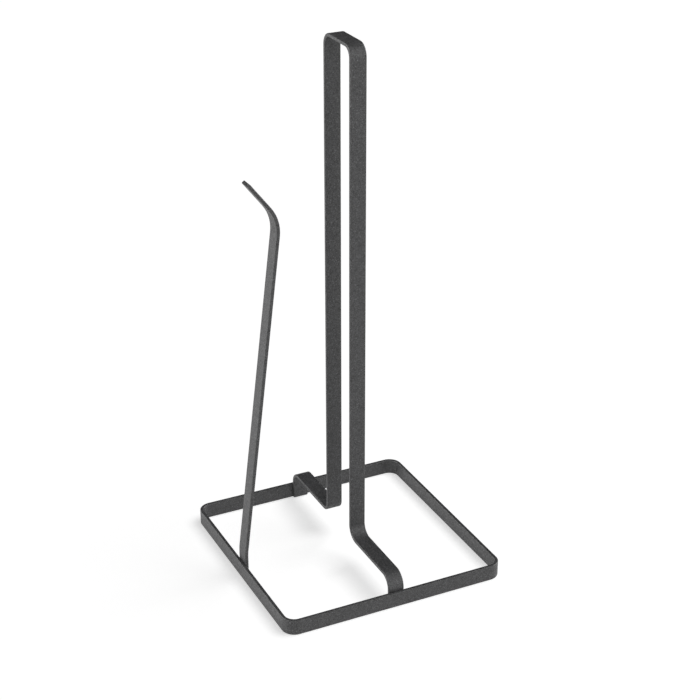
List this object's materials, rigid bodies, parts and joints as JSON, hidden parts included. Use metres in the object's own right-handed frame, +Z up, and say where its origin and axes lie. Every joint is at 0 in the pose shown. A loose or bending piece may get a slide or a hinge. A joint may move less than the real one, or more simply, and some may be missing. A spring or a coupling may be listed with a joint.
{
  "type": "paper towel holder",
  "caption": "Free-standing paper towel holder of bent flat steel bar: a square base, a tall loop post for the roll, and a springy arm that holds the roll while a sheet is torn off.",
  "frame": {"origin": "on the tabletop, under the middle of the square base", "axes": "+Z up along the post; X along the base's front bar, with the tear-off arm on the -X side; Y from the front bar to the back bar"},
  "size_m": [0.15, 0.15, 0.3415],
  "materials": {
    "anthracite_coat": "fine-textured matt powder coat",
    "weld_steel": "bare"
  },
  "bodies": {
    "stand": {"base_ring": "anthracite_coat", "base_seam_weld": "anthracite_coat", "roll_post": "anthracite_coat", "tear_arm_root": "anthracite_coat", "front_foot_weld_left": "weld_steel", "front_foot_weld_right": "weld_steel", "back_foot_weld_left": "weld_steel", "back_foot_weld_right": "weld_steel", "arm_foot_weld_front": "weld_steel", "arm_foot_weld_back": "weld_steel"},
    "arm": {"tear_arm_blade": "anthracite_coat"}
  },
  "joints": [
    {"name": "arm_flex", "type": "hinge", "parent": "stand", "child": "arm", "pos_m": [-0.06828, 0, 0.045], "axis": [0, -1, 0], "range_deg": [-2, 5], "stiffness_Nm_per_rad": 12}
  ]
}
